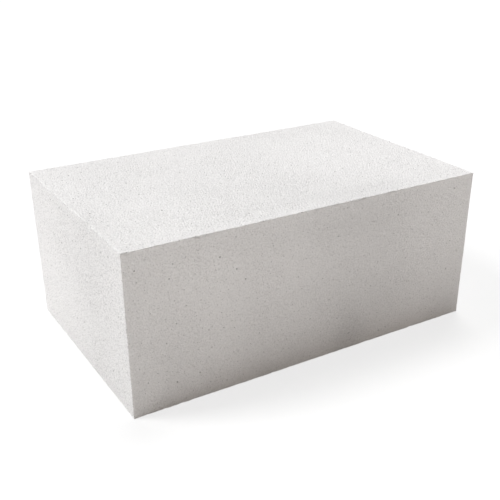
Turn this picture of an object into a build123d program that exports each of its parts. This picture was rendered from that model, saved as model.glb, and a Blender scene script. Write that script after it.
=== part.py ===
"""Solid wall block of autoclaved aerated concrete, wire-cut on all six faces.

The block lies on its bed face: X runs along the wall, Y through the wall and Z up.
The origin is the centre of the lower bed face. All sizes are in millimetres.
"""

import os

from build123d import *

# Size of the block. Its length and thickness are those of the masonry unit itself.
length = 600.0
thickness = 375.0

# A course of this block measures the course height, bed joint of thin mortar included.
course_height = 250.0
bed_joint = 1.0
height = course_height - bed_joint

# The wires leave sharp arrises, which handling rounds off a little: least along the beds,
# more up the four corners, which take the knocks.
bed_arris_radius = 1.0
upright_arris_radius = 1.5


# One cast and cut piece: the plan of the block, drawn up by its height.
with BuildPart() as aerated_block:
    with BuildSketch() as plan:
        RectangleRounded(length, thickness, upright_arris_radius)
    extrude(amount=height)

    # The arrises that run round the lower and the upper bed face.
    bed_faces = aerated_block.faces().filter_by(Axis.Z)
    fillet(bed_faces.edges(), radius=bed_arris_radius)

aerated_block.part.label = "aerated_block"

os.makedirs("parts", exist_ok=True)
export_step(aerated_block.part, "parts/aerated_block.step")
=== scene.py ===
import math

import bpy
import numpy as np
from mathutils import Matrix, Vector
from numpy.lib.stride_tricks import sliding_window_view


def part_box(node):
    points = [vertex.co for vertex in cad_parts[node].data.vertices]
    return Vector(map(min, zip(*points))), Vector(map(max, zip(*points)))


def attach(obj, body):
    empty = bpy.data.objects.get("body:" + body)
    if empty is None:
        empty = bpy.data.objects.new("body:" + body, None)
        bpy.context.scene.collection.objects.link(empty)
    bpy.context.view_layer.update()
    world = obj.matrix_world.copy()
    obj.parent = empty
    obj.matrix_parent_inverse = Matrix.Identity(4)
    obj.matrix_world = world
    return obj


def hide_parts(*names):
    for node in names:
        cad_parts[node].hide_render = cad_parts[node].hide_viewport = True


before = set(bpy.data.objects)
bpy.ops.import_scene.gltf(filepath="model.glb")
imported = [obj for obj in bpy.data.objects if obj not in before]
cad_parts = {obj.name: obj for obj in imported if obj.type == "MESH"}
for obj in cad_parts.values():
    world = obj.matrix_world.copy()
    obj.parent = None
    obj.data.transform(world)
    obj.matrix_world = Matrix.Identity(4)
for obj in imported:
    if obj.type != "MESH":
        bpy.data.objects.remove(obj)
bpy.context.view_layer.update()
scene = bpy.context.scene
scene.view_settings.view_transform = "Standard"


# Camera. The block is seen from above its near left corner, so that the long wall face, the left
# end and the upper bed all show. Its place and lens are worked out from the block's own corners.
picture_px = 500
focal_px = 796.5
optical_centre_px = (260.2, 287.65)
camera_place = (-0.6207, -1.0421, 0.6527)
camera_azimuth = math.radians(31.503)
camera_dip = math.radians(26.667)

lens = bpy.data.cameras.new("camera")
lens.lens = lens.sensor_width * focal_px / picture_px
lens.shift_x = (picture_px / 2 - optical_centre_px[0]) / picture_px
lens.shift_y = (optical_centre_px[1] - picture_px / 2) / picture_px
camera = bpy.data.objects.new("camera", lens)
scene.collection.objects.link(camera)
camera.location = camera_place
looking = Vector((
    math.sin(camera_azimuth) * math.cos(camera_dip),
    math.cos(camera_azimuth) * math.cos(camera_dip),
    -math.sin(camera_dip),
))
camera.rotation_mode = "QUATERNION"
camera.rotation_quaternion = looking.to_track_quat("-Z", "Y")
scene.camera = camera


# Floor. A level sheet of pale studio paper that the block lies on by its lower bed. It throws a
# soft light up on to the block, and seen directly it is white paper with the block's shadow on it.
floor_reach = 12.0
paper_tone = (0.85, 0.843, 0.835)
paper_glow = 0.76
paper_shade_tone = 0.30


def new_material(name):
    """An empty node material, with its nodes, its links and its output node."""
    material = bpy.data.materials.new(name)
    material.use_nodes = True
    tree = material.node_tree
    tree.nodes.clear()
    return material, tree.nodes, tree.links, tree.nodes.new("ShaderNodeOutputMaterial")


def seen_directly(nodes, links):
    """1 for a ray from the camera, or one that gloss or glass sends on, and 0 for scattered light."""
    path = nodes.new("ShaderNodeLightPath")
    kinds = [path.outputs[kind] for kind in ("Is Camera Ray", "Is Glossy Ray", "Is Transmission Ray")]
    seen = kinds[0]
    for kind in kinds[1:]:
        either = nodes.new("ShaderNodeMath")
        either.operation = "MAXIMUM"
        links.new(seen, either.inputs[0])
        links.new(kind, either.inputs[1])
        seen = either.outputs[0]
    return seen


def paper_material():
    """Matt paper for scattered light. Seen directly it is mostly glow, so that it stays white, and
    partly matt, so that the shadow shows."""
    material, nodes, links, output = new_material("studio_paper")
    matt = nodes.new("ShaderNodeBsdfDiffuse")
    matt.inputs["Color"].default_value = (*paper_tone, 1)
    glow = nodes.new("ShaderNodeEmission")
    glow.inputs["Strength"].default_value = paper_glow
    shaded = nodes.new("ShaderNodeBsdfDiffuse")
    shaded.inputs["Color"].default_value = (paper_shade_tone, paper_shade_tone, paper_shade_tone, 1)
    white = nodes.new("ShaderNodeAddShader")
    links.new(glow.outputs[0], white.inputs[0])
    links.new(shaded.outputs[0], white.inputs[1])
    choice = nodes.new("ShaderNodeMixShader")
    links.new(seen_directly(nodes, links), choice.inputs["Fac"])
    links.new(matt.outputs[0], choice.inputs[1])
    links.new(white.outputs[0], choice.inputs[2])
    links.new(choice.outputs[0], output.inputs["Surface"])
    return material


floor_mesh = bpy.data.meshes.new("floor")
floor_mesh.from_pydata(
    [(x * floor_reach, y * floor_reach, 0) for x, y in ((-1, -1), (1, -1), (1, 1), (-1, 1))],
    [],
    [(0, 1, 2, 3)],
)
floor_mesh.materials.append(paper_material())
floor = bpy.data.objects.new("floor", floor_mesh)
scene.collection.objects.link(floor)


# Light. A large soft lamp high on the left and a little behind lights the upper bed and the left
# end. A second one stands higher, behind on the right, and evens the bed, and a weak one low in
# front lifts the long face. The surroundings are dim, and white where they are seen directly.
lamp_spread = 24
lamp_distance = 3.0
front_lamp_colour = (1, 0.914, 0.845)
surroundings_level = 0.01


def soft_lamp(name, azimuth, height, level, colour=(1, 1, 1)):
    """A broad lamp far off. Azimuth is the side it stands on, counted from +X towards +Y, height
    its angle above the floor and lamp_spread its width, all in degrees. level is the brightness
    that it gives a matt white surface facing it."""
    lamp = bpy.data.lights.new(name, "SUN")
    lamp.angle = math.radians(lamp_spread)
    lamp.energy = level * math.pi
    lamp.color = colour
    turn, rise = math.radians(azimuth), math.radians(height)
    stand = bpy.data.objects.new(name, lamp)
    scene.collection.objects.link(stand)
    towards = Vector((math.cos(turn) * math.cos(rise), math.sin(turn) * math.cos(rise), math.sin(rise)))
    stand.location = towards * lamp_distance
    stand.rotation_mode = "QUATERNION"
    stand.rotation_quaternion = towards.to_track_quat("Z", "Y")


soft_lamp("key_lamp", azimuth=150, height=42, level=0.797)
soft_lamp("back_lamp", azimuth=55, height=68, level=0.488)
soft_lamp("front_lamp", azimuth=270, height=9, level=0.206, colour=front_lamp_colour)

surroundings = bpy.data.worlds.new("surroundings")
surroundings.use_nodes = True
scene.world = surroundings
sky_nodes, sky_links = surroundings.node_tree.nodes, surroundings.node_tree.links
sky_nodes.clear()
dim_sky = sky_nodes.new("ShaderNodeBackground")
dim_sky.inputs["Strength"].default_value = surroundings_level
white_sky = sky_nodes.new("ShaderNodeBackground")
white_sky.inputs["Color"].default_value = (1, 1, 1, 1)
white_sky.inputs["Strength"].default_value = 1.0
sky_choice = sky_nodes.new("ShaderNodeMixShader")
sky_links.new(seen_directly(sky_nodes, sky_links), sky_choice.inputs["Fac"])
sky_links.new(dim_sky.outputs[0], sky_choice.inputs[1])
sky_links.new(white_sky.outputs[0], sky_choice.inputs[2])
sky_output = sky_nodes.new("ShaderNodeOutputWorld")
sky_links.new(sky_choice.outputs[0], sky_output.inputs["Surface"])


# The block's faces. It is solid aerated concrete, cut from a risen and stiffened cake with taut
# wires, so its six faces are flat and plain, with no holes, grooves or grips. They are one welded
# lattice of square meshes, with lines close together by the arrises.
lattice_step = 0.0033
arris_lines = np.array([0.0, 0.0006, 0.0012, 0.0020, 0.0032])
random_seed = 600375249
low, high = (np.array(corner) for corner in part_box("aerated_block"))
rng = np.random.default_rng(random_seed)


def lattice_lines(start, end):
    """Places of the lattice's lines along one axis: close by the two arrises and even between."""
    steps = round((end - start - 2 * arris_lines[-1]) / lattice_step)
    even = np.linspace(start + arris_lines[-1], end - arris_lines[-1], steps + 1)
    return np.concatenate([start + arris_lines[:-1], even, end - arris_lines[-2::-1]])


lines = [lattice_lines(low[axis], high[axis]) for axis in range(3)]
counts = [len(places) for places in lines]


def face_crossings(axis, across, up, side):
    """The lattice's crossings on one face, as a grid of single numbers that tell their place in
    the whole box's lattice: (i * ny + j) * nz + k. side is 0 for the face at the axis's low end."""
    first, second = np.meshgrid(np.arange(counts[across]), np.arange(counts[up]), indexing="ij")
    place = {axis: np.full_like(first, side * (counts[axis] - 1)), across: first, up: second}
    return (place[0] * counts[1] + place[1]) * counts[2] + place[2]


faces = [(axis, (axis + 1) % 3, (axis + 2) % 3, side) for axis in range(3) for side in (0, 1)]
crossings = [face_crossings(*face) for face in faces]
keys, numbers = np.unique(np.concatenate([grid.ravel() for grid in crossings]), return_inverse=True)
ends = np.cumsum([grid.size for grid in crossings])[:-1]
grids = [part.reshape(grid.shape) for part, grid in zip(np.split(numbers, ends), crossings)]
flat = np.stack(
    [
        lines[0][keys // (counts[1] * counts[2])],
        lines[1][keys // counts[2] % counts[1]],
        lines[2][keys % counts[2]],
    ],
    axis=1,
)


def face_quads(grid, side):
    """The four corners of each of a face's meshes, in the order that faces out of the block."""
    corners = np.stack([grid[:-1, :-1], grid[1:, :-1], grid[1:, 1:], grid[:-1, 1:]], axis=-1)
    corners = corners.reshape(-1, 4)
    return corners if side else corners[:, ::-1]


quads_by_face = [face_quads(grid, face[3]) for grid, face in zip(grids, faces)]
quad_ends = np.cumsum([len(corners) for corners in quads_by_face])[:-1]
quads = np.concatenate(quads_by_face)


# Arrises and corners. The wires leave them sharp. Handling rubs them to about a millimetre, and
# the four upright ones a little more, and knocks small crumbs out of them, most of them only a
# few millimetres long.
bed_arris_radius = 0.0010
upright_arris_radius = 0.0015
arris_unevenness = 0.0005
unevenness_lengths = (0.006, 0.026)
arris_radius_limits = (0.0004, 0.0027)
corner_reach = 0.005
# The width of the arrises' mark, which roughens them and makes them paler, partly rubbed and partly a
# painted highlight.
rubbed_and_highlit_width = 0.0040
ripple_spread = 0.6
knock_count = 360
knock_free_share = 0.01
knock_length = (0.0018, 0.0070)
knock_length_power = 3
knock_depth_share = (0.16, 0.26)

# Besides the scattered knocks, five larger ones are at places of their own, round the left end.
seen_knocks = np.array([
    (-0.300, 0.1328, 0.249),
    (-0.300, 0.1875, 0.249),
    (-0.2955, -0.1875, 0.249),
    (-0.300, -0.1875, 0.066),
    (-0.300, -0.1875, 0.051),
])
seen_knock_length = 0.0050
gather_share = 0.62
gather_reach = 3.0
unmoved_share = 0.1


def ripple(points, lengths, modes):
    """A smooth random field about 0, with a spread of ripple_spread: the sum of cosines along
    random directions, with wavelengths spread evenly by ratio between the two lengths."""
    shortest, longest = lengths
    directions = rng.normal(size=(modes, 3))
    directions /= np.linalg.norm(directions, axis=1, keepdims=True)
    wavelengths = np.exp(rng.uniform(math.log(shortest), math.log(longest), modes))
    turns = points @ (directions / wavelengths[:, None]).T * 2 * math.pi
    waves = np.cos(turns + rng.uniform(0, 2 * math.pi, modes))
    return ripple_spread * waves.sum(axis=1) / math.sqrt(modes / 2)


def arris_places(count):
    """Random places on the block's twelve arrises, each arris as likely as it is long. They keep
    off a small share of it at both ends."""
    span = high - low
    along = rng.choice(3, size=count, p=span / span.sum())
    places = np.where(rng.integers(0, 2, size=(count, 3)) == 1, high, low)
    rows = np.arange(count)
    share = rng.uniform(knock_free_share, 1 - knock_free_share, count)
    places[rows, along] = low[along] + share * span[along]
    return places


def out_of_block(places):
    """Unit directions out of the block at places on its arrises and corners: the sum of the
    directions out of the faces that meet there."""
    hair = 1e-5
    outward = (places > high - hair).astype(float) - (places < low + hair)
    return outward / np.linalg.norm(outward, axis=1, keepdims=True)


knock_places = np.concatenate([arris_places(knock_count), seen_knocks])
knock_outward = out_of_block(knock_places)
shortest_knock, longest_knock = knock_length
longer = (longest_knock - shortest_knock) * rng.random(knock_count) ** knock_length_power
seen_lengths = np.full(len(seen_knocks), seen_knock_length)
knock_half = np.concatenate([shortest_knock + longer, seen_lengths]) / 2
knock_cut = 2 * knock_half * rng.uniform(*knock_depth_share, len(knock_half))


def gather(points):
    """Draws the lattice together round each knock, for finer meshes there: a point at a share s
    of the reach moves towards the knock by gather_share * (1 - s^2)^2 of its distance, and stays
    on its own face, arris or corner."""
    gathered = points.copy()
    on_faces = (points == low) | (points == high)
    for centre, half in zip(knock_places, knock_half):
        reach = half * gather_reach
        near = np.flatnonzero(np.abs(gathered - centre).max(axis=1) < reach)
        offset = gathered[near] - centre
        share = np.minimum((offset ** 2).sum(axis=1) / reach ** 2, 1)
        drawn = gathered[near] - offset * (gather_share * (1 - share) ** 2)[:, None]
        gathered[near] = np.where(on_faces[near], points[near], drawn)
    return gathered


even_places = flat
flat = gather(even_places)
by_knock = np.linalg.norm(flat - even_places, axis=1) > unmoved_share * lattice_step

# A point lies on one face, so its second shortest distance from a face is that from an arris. The
# radius there is the bed arrises' by the beds and the upright ones' away from them, made uneven.
from_faces = np.minimum(flat - low, high - flat)
# The arrises' mark: 1 at an arris, falling to 0 a mark's width from it. It gives them ragged relief and
# a paler tone, partly rubbed concrete and partly a painted highlight.
rubbed_and_highlit = np.clip(1 - np.sort(from_faces, axis=1)[:, 1] / rubbed_and_highlit_width, 0, 1)
off_beds = np.clip((from_faces[:, 2] - bed_arris_radius) / corner_reach, 0, 1)
radius = bed_arris_radius + (upright_arris_radius - bed_arris_radius) * off_beds
radius += arris_unevenness * ripple(flat, unevenness_lengths, modes=60)
radius = np.clip(radius, *arris_radius_limits)[:, None]
core = np.clip(flat, low + radius, high - radius)
outward = flat - core
outward /= np.linalg.norm(outward, axis=1, keepdims=True)
worn = core + outward * radius


# Pores. Gas bubbles in the risen cake, cut through by the wires, leave round open cups in every
# face. These are cups in the mesh, in two sizes from one to nearly three millimetres wide, and
# the finish below adds the finest ones.
large_patch = 5
large_pore_radius = (0.00080, 0.00135)
large_pores_kept = 0.50
small_patch = 4
small_pore_radius = (0.00055, 0.00095)
small_pores_kept = 0.90
small_pore_rounds = 3
pore_radius_power = 2
pore_depth_share = (1.0, 1.6)
pore_oval = 0.10
pore_drift = 0.3
ring_power = 0.6


def untouched(grid):
    """Marks the meshes of a face that pores keep off: those by its arrises and round a knock."""
    taken = by_knock[grid[:-1, :-1]] | by_knock[grid[1:, 1:]]
    margin = len(arris_lines)
    taken[:margin] = taken[-margin:] = True
    taken[:, :margin] = taken[:, -margin:] = True
    return taken


def scattered_patches(taken, patch, kept):
    """Low corners of square patches of a face's meshes, scattered so that none overlap: the free
    places whose random rank is the highest within a patch's reach, less a random share of them.
    The new patches' meshes are marked as taken."""
    free = ~sliding_window_view(taken, (patch, patch)).any(axis=(2, 3))
    rank = rng.random(free.shape) * free
    reach = 2 * patch - 1
    highest = sliding_window_view(np.pad(rank, patch - 1), (reach, reach)).max(axis=(2, 3))
    corners = np.argwhere(free & (rank == highest) & (rng.random(free.shape) < kept))
    meshes = np.argwhere(np.ones((patch, patch)))
    taken[tuple((corners[:, None] + meshes).transpose(2, 0, 1))] = True
    return corners


def patch_shape(patch):
    """How a patch's inner crossings are drawn in to a pore. The outer ring of them goes to the
    rim, each along its own way from the centre. Rings further in go to the cup's wall at a share
    of the radius, which is the ring's own share to ring_power, and there the cup, half an
    ellipsoid, is sqrt(1 - share^2) of its depth."""
    inner = np.argwhere(np.ones((patch - 1, patch - 1))) + 1
    offset = inner - patch / 2
    ring = np.abs(offset).max(axis=1)
    share = (ring / ring.max()) ** ring_power
    distance = np.linalg.norm(offset, axis=1)
    way = offset / np.where(distance > 0, distance, 1)[:, None]
    return inner, way * share[:, None], np.sqrt(1 - share ** 2)


def open_pores(patch, radii, kept):
    """Opens pores of one size in all six faces, each a little oval: its radius along a way at an
    angle a is 1 + pore_oval * cos(2 * (a - lean)) of its mean."""
    inner, way, deep = patch_shape(patch)
    angle = np.arctan2(way[:, 1], way[:, 0])
    for (axis, across, up, side), grid, taken in zip(faces, grids, taken_meshes):
        corners = scattered_patches(taken, patch, kept)
        inside = grid[tuple((corners[:, None] + inner).transpose(2, 0, 1))]
        plane = [across, up]
        drift = rng.uniform(-pore_drift, pore_drift, (len(corners), 2)) * lattice_step
        centre = flat[inside][..., plane].mean(axis=1) + drift
        wider = (radii[1] - radii[0]) * rng.random(len(corners)) ** pore_radius_power
        pore_radius = radii[0] + wider
        lean = rng.uniform(0, math.pi, (len(corners), 1))
        oval = 1 + pore_oval * np.cos(2 * (angle - lean))
        reach = way * (pore_radius[:, None] * oval)[..., None]
        flat[inside[..., None], plane] = centre[:, None] + reach
        worn[inside[..., None], plane] = flat[inside[..., None], plane]
        full_depth = pore_radius * rng.uniform(*pore_depth_share, len(corners))
        depth[inside] = deep * full_depth[:, None]


depth = np.zeros(len(flat))
taken_meshes = [untouched(grid) for grid in grids]
open_pores(large_patch, large_pore_radius, large_pores_kept)
for _ in range(small_pore_rounds):
    open_pores(small_patch, small_pore_radius, small_pores_kept)


# Wire marks. The taut wires give a little as they cut, so the faces bow in by about a tenth of a
# millimetre, and the wires leave a far fainter ripple.
bow_depth = 0.00010
bow_lengths = (0.06, 0.30)
wire_mark_depth = 0.00001
wire_mark_lengths = (0.015, 0.05)
waviness = bow_depth * (1 + ripple(flat, bow_lengths, modes=24))
waviness += wire_mark_depth * (1 + ripple(flat, wire_mark_lengths, modes=40))
worn -= outward * (np.clip(waviness, 0, None) + depth)[:, None]


# Knocks. A crumb that breaks out of an arris leaves a shallow scoop. Each knock pushes the surface
# out of a ball that leans in over the arris. The ball's radius comes from the knock's half length
# h and its depth d, (h^2 + d^2) / 2d, and is a little rough.
knock_reach = 4.0
knock_roughness = 0.05
knock_roughness_lengths = (0.002, 0.006)
for place, out, half, cut in zip(knock_places, knock_outward, knock_half, knock_cut):
    ball = (half ** 2 + cut ** 2) / (2 * cut)
    centre = place + out * (ball - cut)
    near = np.abs(worn - place).max(axis=1) < knock_reach * half
    offset = worn[near] - centre
    distance = np.linalg.norm(offset, axis=1)
    rough = ball * (1 + knock_roughness * ripple(worn[near], knock_roughness_lengths, modes=16))
    worn[near] = centre + offset * (np.maximum(distance, rough) / distance)[:, None]
worn = np.clip(worn, low, high)


# Finish. White, dead matt aerated concrete, with fine open pores, a sandy grain and a faintly cloudy
# tone. It is one material all through, so the knocks show the same white as the arrises. Its tone also
# carries painted shade in the pores, soft patches of painted light and shade, and paler arrises, partly
# rubbed and partly a painted highlight.
concrete_tone = (0.869, 0.858, 0.853)
lightest_share = 1.12
darkest_share = 0.15
concrete_roughness = 0.95
concrete_specular = 0.2
patchy_size = 0.07
patchy_share = 1.2
patchy_least = 0.4
grain_size = 0.0021
grain_tone = 0.27
# The grain, with the finest pores' painted shade, is stronger on the beds and the ends by these shares:
# partly painted light and shade for the relief that the lamps bring out there.
bed_grain = 1.50
end_grain = 2.35
bubble_radius = 0.00062
bubble_rim = 0.6
bubble_spacing = 0.0050
bubble_depth = 0.0008
fine_spacing = 0.0021
fine_depth = 0.0004
# The pores are darkened with painted shade that stands in for the shadow inside them: the finest ones
# by fine_pore_shade, the rest by pore_shade, and more on the beds and the ends by their shares.
fine_pore_shade = -0.13
pore_shade = -0.43
bed_pores = 2.2
end_pores = 1.9
lump_size = 0.0027
lump_height = 0.0009
bed_lumps = 1.65
end_lumps = 1.10
# The arrises are paler by this share of the tone, partly rubbed concrete and partly a painted highlight
# for the bright line that they catch, and less on the ends.
rubbed_and_highlight_tone = 0.07
end_rubbed_and_highlight = 0.30
ragged_size = 0.0026
ragged_height = 0.0025
face_skin = 0.001
cloud_size = 0.11
cloud_tone = 0.03
mottle_size = 0.025
mottle_tone = 0.008

# Painted light and shade in soft patches, lighter and darker. They stand in for light falling unevenly
# across the faces and for the shade along the foot of the long face. Each patch is its centre, its
# reach along X, Y and Z, and the share by which it changes the tone at its centre.
painted_light_patches = (
    ((0.235, -0.020, 0.249), (0.320, 0.305, 0.08), 0.042),
    ((0.030, -0.205, 0.249), (0.275, 0.350, 0.08), -0.052),
    ((0.180, -0.1875, 0.005), (0.130, 0.08, 0.105), 0.095),
    ((0.100, -0.1875, 0.200), (0.200, 0.08, 0.350), -0.095),
    ((-0.170, -0.1875, -0.020), (0.100, 0.08, 0.350), 0.095),
    ((-0.180, -0.1875, 0.077), (0.150, 0.08, 0.135), -0.082),
    ((0.155, -0.1875, 0.165), (0.330, 0.08, 0.120), 0.047),
    ((0.065, -0.1875, 0.010), (0.050, 0.08, 0.120), -0.085),
    ((-0.300, 0.093, 0.100), (0.08, 0.210, 0.350), 0.070),
    ((-0.300, -0.020, 0.087), (0.08, 0.265, 0.255), -0.072),
    ((0.050, -0.1875, 0.249), (0.260, 0.050, 0.050), 0.075),
    ((0.120, -0.1875, 0.000), (0.260, 0.08, 0.035), 0.060),
)


def math_node(nodes, links, operation, *values):
    """The result of a math node. Each value is a number or another node's output."""
    node = nodes.new("ShaderNodeMath")
    node.operation = operation
    for socket, value in zip(node.inputs, values):
        if isinstance(value, (int, float)):
            socket.default_value = value
        else:
            links.new(value, socket)
    return node.outputs[0]


def noise(nodes, links, place, size, detail):
    """Smooth noise from 0 to 1 about 0.5, with lumps of that size in metres."""
    node = nodes.new("ShaderNodeTexNoise")
    node.inputs["Scale"].default_value = 1 / size
    node.inputs["Detail"].default_value = detail
    links.new(place, node.inputs["Vector"])
    return node.outputs["Fac"]


def level_noise(nodes, links, place, size, detail=1):
    """The same noise about 0, from -0.5 to 0.5."""
    return math_node(nodes, links, "SUBTRACT", noise(nodes, links, place, size, detail), 0.5)


def bubbles(nodes, links, place, spacing):
    """1 inside gas bubbles of one radius scattered through the block, about that far apart, and 0
    outside, with a soft rim. A face cuts through them at any height, so the pores in it have all
    sizes."""
    cells = nodes.new("ShaderNodeTexVoronoi")
    cells.inputs["Scale"].default_value = 1 / spacing
    links.new(place, cells.inputs["Vector"])
    edge = nodes.new("ShaderNodeMapRange")
    edge.interpolation_type = "SMOOTHSTEP"
    links.new(cells.outputs["Distance"], edge.inputs["Value"])
    edge.inputs["From Min"].default_value = bubble_radius / spacing
    edge.inputs["From Max"].default_value = bubble_rim * bubble_radius / spacing
    return edge.outputs[0]


def painted_light_patch(nodes, links, place, centre, reach, amount):
    """A soft-edged patch of painted light and shade that changes the tone by a share: amount at its
    centre, lighter above 0 and darker below, and nothing at the reach along each axis."""
    mapping = nodes.new("ShaderNodeMapping")
    mapping.vector_type = "TEXTURE"
    mapping.inputs["Location"].default_value = centre
    mapping.inputs["Scale"].default_value = reach
    links.new(place, mapping.inputs["Vector"])
    ball = nodes.new("ShaderNodeTexGradient")
    ball.gradient_type = "SPHERICAL"
    links.new(mapping.outputs[0], ball.inputs["Vector"])
    soft = nodes.new("ShaderNodeMapRange")
    soft.interpolation_type = "SMOOTHERSTEP"
    soft.inputs["To Max"].default_value = amount
    links.new(ball.outputs["Fac"], soft.inputs["Value"])
    return soft.outputs[0]


def mesh_value(nodes, name):
    """A number that the mesh carries at each of its points."""
    node = nodes.new("ShaderNodeAttribute")
    node.attribute_name = name
    return node.outputs["Fac"]


def marked_faces(nodes, links, place):
    """Two marks, 1 on the beds and 1 on the ends, told by how far a point is from the middle."""
    axes = nodes.new("ShaderNodeSeparateXYZ")
    links.new(place, axes.inputs[0])
    above = math_node(nodes, links, "SUBTRACT", axes.outputs["Z"], high[2] / 2)
    marks = []
    for distance, limit in ((above, high[2] / 2), (axes.outputs["X"], high[0])):
        distance = math_node(nodes, links, "ABSOLUTE", distance)
        marks.append(math_node(nodes, links, "GREATER_THAN", distance, limit - face_skin))
    return marks


def by_face(nodes, links, marks, value, on_beds, on_ends):
    """A value as it is on the two long faces, and times the given shares on the beds and ends."""
    share = math_node(nodes, links, "MULTIPLY_ADD", marks[0], on_beds - 1, 1.0)
    share = math_node(nodes, links, "MULTIPLY_ADD", marks[1], on_ends - 1, share)
    return math_node(nodes, links, "MULTIPLY", value, share)


def concrete_material():
    """Its relief is lumps, less the pores, plus the ragged arrises, in metres, which a bump node turns
    to slopes. Its tone is concrete_tone times a share: clouds with soft patches of painted light and
    shade, plus grain and the pores' painted shade, plus the paler arrises, partly rubbed and partly a
    painted highlight, between darkest_share and lightest_share. Lumps, grain and the finest pores are
    patchy: times patchy_least, plus patchy_share of a broad noise."""
    material, nodes, links, output = new_material("aerated_concrete")
    place = nodes.new("ShaderNodeTexCoord").outputs["Object"]
    marks = marked_faces(nodes, links, place)
    patchy = noise(nodes, links, place, patchy_size, detail=2)
    patchy = math_node(nodes, links, "MULTIPLY_ADD", patchy, patchy_share, patchy_least)
    pores = bubbles(nodes, links, place, bubble_spacing)
    fine_pores = bubbles(nodes, links, place, fine_spacing)
    fine_pores = math_node(nodes, links, "MULTIPLY", fine_pores, patchy)
    rubbed_and_highlit_here = mesh_value(nodes, "rubbed_and_highlit")

    lumps = math_node(nodes, links, "MULTIPLY", level_noise(nodes, links, place, lump_size), patchy)
    lumps = by_face(nodes, links, marks, lumps, bed_lumps, end_lumps)
    relief = math_node(nodes, links, "MULTIPLY", lumps, lump_height)
    relief = math_node(nodes, links, "MULTIPLY_ADD", pores, -bubble_depth, relief)
    relief = math_node(nodes, links, "MULTIPLY_ADD", fine_pores, -fine_depth, relief)
    ragged = level_noise(nodes, links, place, ragged_size)
    ragged = math_node(nodes, links, "MULTIPLY", ragged, rubbed_and_highlit_here)
    relief = math_node(nodes, links, "MULTIPLY_ADD", ragged, ragged_height, relief)
    bump = nodes.new("ShaderNodeBump")
    bump.inputs["Distance"].default_value = 1.0
    links.new(relief, bump.inputs["Height"])

    clouds_and_painted_light = level_noise(nodes, links, place, cloud_size, detail=2)
    clouds_and_painted_light = math_node(nodes, links, "MULTIPLY_ADD", clouds_and_painted_light, cloud_tone, 1.0)
    mottle = level_noise(nodes, links, place, mottle_size, detail=2)
    clouds_and_painted_light = math_node(nodes, links, "MULTIPLY_ADD", mottle, mottle_tone, clouds_and_painted_light)
    # Soft patches of painted light and shade.
    for centre, reach, amount in painted_light_patches:
        painted_patch = painted_light_patch(nodes, links, place, centre, reach, amount)
        clouds_and_painted_light = math_node(nodes, links, "ADD", clouds_and_painted_light, painted_patch)
    grain = math_node(nodes, links, "MULTIPLY", level_noise(nodes, links, place, grain_size), patchy)
    fine_marks = math_node(nodes, links, "MULTIPLY", grain, grain_tone)
    fine_marks = math_node(nodes, links, "MULTIPLY_ADD", fine_pores, fine_pore_shade, fine_marks)
    fine_marks = by_face(nodes, links, marks, fine_marks, bed_grain, end_grain)
    # Painted shade in the pores, deeper on the beds and the ends.
    all_pores = math_node(nodes, links, "MAXIMUM", pores, mesh_value(nodes, "pore"))
    all_pores = by_face(nodes, links, marks, all_pores, bed_pores, end_pores)
    shade = math_node(nodes, links, "ADD", clouds_and_painted_light, fine_marks)
    shade = math_node(nodes, links, "MULTIPLY_ADD", all_pores, pore_shade, shade)
    # Paler arrises: partly rubbed concrete and partly a painted highlight.
    rubbed_and_highlit_here = by_face(nodes, links, marks, rubbed_and_highlit_here, 1.0, end_rubbed_and_highlight)
    shade = math_node(nodes, links, "MULTIPLY_ADD", rubbed_and_highlit_here, rubbed_and_highlight_tone, shade)
    shade = math_node(nodes, links, "MINIMUM", shade, lightest_share)
    shade = math_node(nodes, links, "MAXIMUM", shade, darkest_share)
    tone = nodes.new("ShaderNodeVectorMath")
    tone.operation = "SCALE"
    tone.inputs[0].default_value = concrete_tone
    links.new(shade, tone.inputs["Scale"])

    surface = nodes.new("ShaderNodeBsdfPrincipled")
    surface.inputs["Roughness"].default_value = concrete_roughness
    surface.inputs["Specular IOR Level"].default_value = concrete_specular
    links.new(tone.outputs[0], surface.inputs["Base Color"])
    links.new(bump.outputs[0], surface.inputs["Normal"])
    links.new(surface.outputs[0], output.inputs["Surface"])
    return material


# A mesh by a pore's rim is split along the diagonal that leads down into the cup.
in_cup = (depth > 0)[quads]
across_rim = in_cup.any(axis=1) & ~in_cup[:, 0] & ~in_cup[:, 2]
quads = np.where(across_rim[:, None], np.roll(quads, 1, axis=1), quads)

block_mesh = bpy.data.meshes.new("aerated_concrete_block")
block_mesh.vertices.add(len(worn))
block_mesh.vertices.foreach_set("co", worn.astype(np.float32).ravel())
block_mesh.loops.add(quads.size)
block_mesh.loops.foreach_set("vertex_index", quads.astype(np.int32).ravel())
block_mesh.polygons.add(len(quads))
block_mesh.polygons.foreach_set("loop_start", np.arange(0, quads.size, 4, dtype=np.int32))
block_mesh.update(calc_edges=True)
# The arrises' mark, for their ragged relief and their paler tone, partly a painted highlight.
mesh_values = block_mesh.attributes.new("rubbed_and_highlit", "FLOAT", "POINT")
mesh_values.data.foreach_set("value", rubbed_and_highlit.astype(np.float32))

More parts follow.
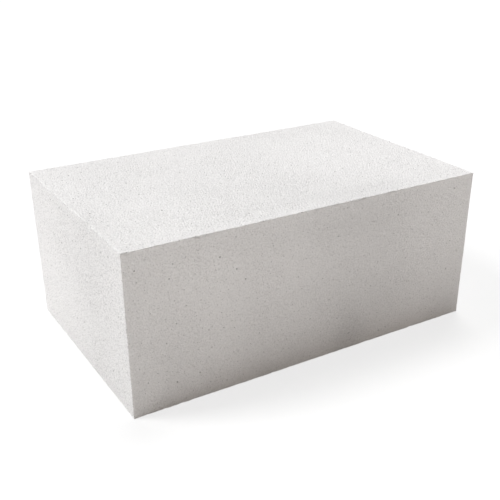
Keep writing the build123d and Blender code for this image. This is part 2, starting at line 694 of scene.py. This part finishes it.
# A pore's wall carries painted shade, half dark at its rim and dark at its bottom, and the face outside
# it carries none.
rim_dark = 0.5
mesh_values = block_mesh.attributes.new("pore", "FLOAT", "CORNER")
dark = np.where(in_cup.any(axis=1)[:, None], rim_dark + (1 - rim_dark) * in_cup, 0)
mesh_values.data.foreach_set("value", dark.astype(np.float32).ravel())

# The rims of the pores are sharp: an edge there has a pore's wall on one side only.
edge_numbers = np.empty(quads.size, np.int32)
block_mesh.loops.foreach_get("edge_index", edge_numbers)
walls = np.repeat(in_cup.any(axis=1), 4)
cup_sides = np.bincount(edge_numbers, weights=walls, minlength=len(block_mesh.edges))
rim_edges = block_mesh.attributes.new("sharp_edge", "BOOLEAN", "EDGE")
rim_edges.data.foreach_set("value", cup_sides == 1)

# Each face has its own rectangle of the picture that the finish is baked to, all at one scale:
# the face's axes along the picture, each with its direction, and the rectangle's low corner.
gap = 0.004
length, thickness, height = high - low
rectangles = {
    (2, 1): ((0, 1), (1, 1), (0, 0)),
    (1, 0): ((0, 1), (2, 1), (0, thickness + gap)),
    (1, 1): ((0, -1), (2, 1), (0, thickness + height + 2 * gap)),
    (2, 0): ((1, 1), (0, 1), (length + gap, 0)),
    (0, 0): ((1, -1), (2, 1), (length + gap, length + gap)),
    (0, 1): ((1, 1), (2, 1), (length + gap, length + height + 2 * gap)),
}
picture_side = length + 2 * height + 4 * gap


def baked_place(points, way, start):
    """The distance along one of the picture's sides: from the low edge of the face, or from its
    high edge where the face is laid the other way."""
    axis, direction = way
    along = points[:, axis] - low[axis] if direction > 0 else high[axis] - points[:, axis]
    return (along + start + gap) / picture_side


baked = []
for (axis, across, up, side), corners in zip(faces, np.split(quads, quad_ends)):
    across_way, up_way, (start_across, start_up) = rectangles[axis, side]
    points = flat[corners.ravel()]
    places = baked_place(points, across_way, start_across), baked_place(points, up_way, start_up)
    baked.append(np.stack(places, axis=1))
uv_map = block_mesh.uv_layers.new(name="OFBake")
uv_map.data.foreach_set("uv", np.concatenate(baked).astype(np.float32).ravel())

block_mesh.materials.append(concrete_material())
block = bpy.data.objects.new("aerated_concrete_block", block_mesh)
scene.collection.objects.link(block)
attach(block, "root")
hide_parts("aerated_block")
